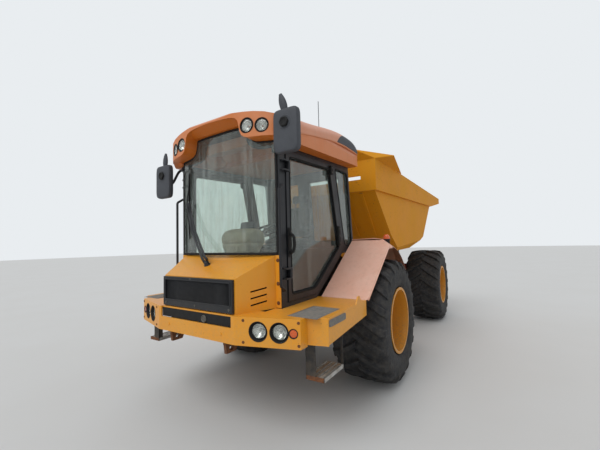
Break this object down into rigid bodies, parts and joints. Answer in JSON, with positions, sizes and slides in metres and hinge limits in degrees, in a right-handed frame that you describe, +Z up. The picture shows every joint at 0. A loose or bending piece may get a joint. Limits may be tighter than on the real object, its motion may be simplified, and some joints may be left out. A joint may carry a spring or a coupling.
{
  "type": "articulated dump truck",
  "caption": "Two-axle articulated dump truck: a glazed cab unit hinged at a vertical pin to a rear unit with a tipping hopper body and lugged tyres.",
  "frame": {"origin": "on the ground, under the middle of the machine's length and width", "axes": "-Y is forward, +X is the machine's left, +Z is up"},
  "size_m": [2.5, 5.735, 3.066],
  "materials": {
    "beige_plastic": "moulded",
    "black_plastic": "moulded",
    "cab_black": "satin powder coat",
    "chrome": "polished",
    "engine_grey": "rough cast",
    "faded_plastic": "sun faded moulded panel",
    "frame_black": "satin chassis paint",
    "glass": "tinted safety glass",
    "lamp_amber": "lens",
    "lamp_glass": "clear lens",
    "lamp_red": "lens",
    "rusty_steel": "rusted plate",
    "seat_fabric": "woven",
    "step_metal": "serrated tread",
    "tyre": "worn rubber",
    "yellow_paint": "gloss enamel, weathered"
  },
  "bodies": {
    "front_unit": {"front_frame": "frame_black", "hinge_yoke": "frame_black", "tow_lugs": "rusty_steel", "front_axle": "frame_black", "engine_block": "engine_grey", "bumper": "yellow_paint", "platform_l": "yellow_paint", "platform_r": "yellow_paint", "step_l": "step_metal", "step_r": "step_metal", "headlamps": "lamp_glass", "nose_cover": "yellow_paint", "grille_panel": "black_plastic", "cab_shell": "cab_black", "cab_floor": "cab_black", "windscreen": "glass", "cab_glass": "glass", "cab_roof": "faded_plastic", "roof_lamps": "lamp_glass", "fender_l": "faded_plastic", "fender_r": "faded_plastic", "mirror_l": "black_plastic", "mirror_r": "black_plastic", "grab_rails": "cab_black", "wiper": "black_plastic", "antenna": "black_plastic", "seat": "seat_fabric", "dash_console": "beige_plastic", "steering_wheel": "black_plastic", "fender_lamps": "lamp_amber", "engine_deck": "yellow_paint"},
    "rear_unit": {"rear_frame": "frame_black", "rear_axle": "frame_black", "rear_lamps": "lamp_red"},
    "bed": {"bed_shell": "yellow_paint", "spill_guard": "yellow_paint", "bed_ribs": "yellow_paint"},
    "door_left": {"door_l": "cab_black", "door_glass_l": "glass"},
    "door_right": {"door_r": "cab_black", "door_glass_r": "glass"},
    "wheel_fl": {"tyre_fl": "tyre", "rim_fl": "yellow_paint"},
    "wheel_fr": {"tyre_fr": "tyre", "rim_fr": "yellow_paint"},
    "wheel_rl": {"tyre_rl": "tyre", "rim_rl": "yellow_paint"},
    "wheel_rr": {"tyre_rr": "tyre", "rim_rr": "yellow_paint"},
    "steer_cylinder_l": {"steer_barrel_l": "frame_black"},
    "steer_piston_l": {"steer_rod_l": "chrome"},
    "steer_cylinder_r": {"steer_barrel_r": "frame_black"},
    "steer_piston_r": {"steer_rod_r": "chrome"},
    "tip_cylinders": {"tip_barrels": "yellow_paint"},
    "tip_pistons": {"tip_rods": "chrome"}
  },
  "joints": [
    {"name": "steer", "type": "hinge", "parent": "front_unit", "child": "rear_unit", "pos_m": [0, 0.4175, 0.79], "axis": [0, 0, 1], "range_deg": [-38, 38]},
    {"name": "tip", "type": "hinge", "parent": "rear_unit", "child": "bed", "pos_m": [0, 2.1175, 1.4], "axis": [-1, 0, 0], "range_deg": [0, 70]},
    {"name": "door_l", "type": "hinge", "parent": "front_unit", "child": "door_left", "pos_m": [0.672, -2.3785, 1.7], "axis": [0, 0, -1], "range_deg": [0, 80]},
    {"name": "door_r", "type": "hinge", "parent": "front_unit", "child": "door_right", "pos_m": [-0.672, -2.3785, 1.7], "axis": [0, 0, 1], "range_deg": [0, 80]},
    {"name": "roll_fl", "type": "hinge", "parent": "front_unit", "child": "wheel_fl", "pos_m": [0.95, -1.0825, 0.6665], "axis": [1, 0, 0], "continuous": true},
    {"name": "roll_fr", "type": "hinge", "parent": "front_unit", "child": "wheel_fr", "pos_m": [-0.95, -1.0825, 0.6665], "axis": [1, 0, 0], "continuous": true},
    {"name": "roll_rl", "type": "hinge", "parent": "rear_unit", "child": "wheel_rl", "pos_m": [0.95, 2.0175, 0.6665], "axis": [1, 0, 0], "continuous": true},
    {"name": "roll_rr", "type": "hinge", "parent": "rear_unit", "child": "wheel_rr", "pos_m": [-0.95, 2.0175, 0.6665], "axis": [1, 0, 0], "continuous": true},
    {"name": "steer_swing_l", "type": "hinge", "parent": "front_unit", "child": "steer_cylinder_l", "pos_m": [0.24, -0.1525, 0.79], "axis": [0, 0, 1], "range_deg": [-10.4, 10.4]},
    {"name": "steer_slide_l", "type": "slide", "parent": "steer_cylinder_l", "child": "steer_piston_l", "axis": [0.026, 0.9997, 0], "range_m": [-0.168, 0.168]},
    {"name": "steer_swing_r", "type": "hinge", "parent": "front_unit", "child": "steer_cylinder_r", "pos_m": [-0.24, -0.1525, 0.79], "axis": [0, 0, 1], "range_deg": [-10.4, 10.4]},
    {"name": "steer_slide_r", "type": "slide", "parent": "steer_cylinder_r", "child": "steer_piston_r", "axis": [-0.026, 0.9997, 0], "range_m": [-0.168, 0.168]},
    {"name": "tip_swing", "type": "hinge", "parent": "rear_unit", "child": "tip_cylinders", "pos_m": [0, 0.9635, 0.62], "axis": [-1, 0, 0], "range_deg": [-1, 1]},
    {"name": "tip_slide", "type": "slide", "parent": "tip_cylinders", "child": "tip_pistons", "axis": [0, 0.692, 0.7219], "range_m": [0, 0.3848]}
  ],
  "couplings": [
    {"joint": "steer_swing_l", "follows": "steer", "ratio": 0.26855},
    {"joint": "steer_slide_l", "follows": "steer", "m_per_rad": 0.25118},
    {"joint": "steer_swing_r", "follows": "steer", "ratio": 0.26855},
    {"joint": "steer_slide_r", "follows": "steer", "m_per_rad": -0.25118},
    {"joint": "tip_swing", "follows": "tip", "ratio": 0.00265},
    {"joint": "tip_slide", "follows": "tip", "m_per_rad": 0.31329}
  ]
}
